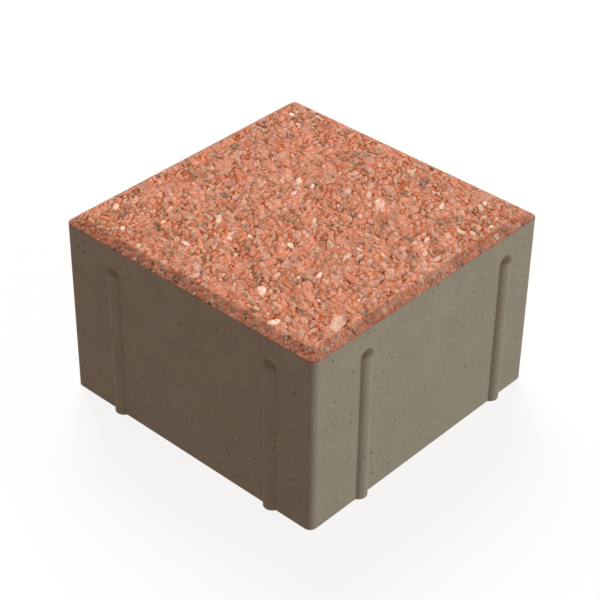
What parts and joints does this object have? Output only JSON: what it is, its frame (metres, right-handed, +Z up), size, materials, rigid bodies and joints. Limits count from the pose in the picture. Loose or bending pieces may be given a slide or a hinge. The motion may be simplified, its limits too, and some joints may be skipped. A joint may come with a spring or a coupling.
{
  "type": "concrete paving stone",
  "caption": "Square concrete paving stone with a bevelled, exposed-aggregate red face layer on a grey core, and upright spacer ribs that set the joint to the next stone.",
  "frame": {"origin": "centre of the underside, where the stone rests", "axes": "+Z up, out of the red top face. The picture's right side faces -Y and its left side faces -X"},
  "size_m": [0.098, 0.098, 0.06],
  "materials": {
    "core_concrete": "smooth cast grey-brown concrete with small air pores",
    "face_concrete": "washed red concrete with exposed pink, grey and cream stone chips"
  },
  "bodies": {
    "root": {"core_concrete": "core_concrete", "face_layer": "face_concrete"}
  },
  "joints": []
}
